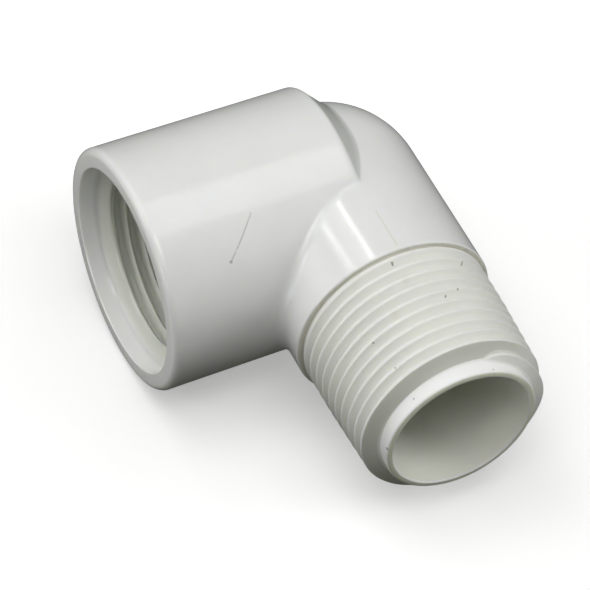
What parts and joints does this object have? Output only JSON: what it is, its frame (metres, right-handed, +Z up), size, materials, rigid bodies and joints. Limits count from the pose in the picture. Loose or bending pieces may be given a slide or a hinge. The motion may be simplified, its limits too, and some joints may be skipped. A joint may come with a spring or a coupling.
{
  "type": "pvc street elbow",
  "caption": "White PVC street elbow for irrigation pipe: threaded socket on one end, tapered threaded spigot at 90 degrees to it.",
  "frame": {"origin": "on the table under the middle of the part's box, with the socket barrel lying on the table", "axes": "-X out of the threaded socket, -Y out of the threaded spigot, +Z up; both bore axes are level"},
  "size_m": [0.0432, 0.058, 0.0334],
  "materials": {
    "white_pvc": "semi-gloss moulded PVC"
  },
  "bodies": {
    "root": {"elbow_body": "white_pvc"}
  },
  "joints": []
}
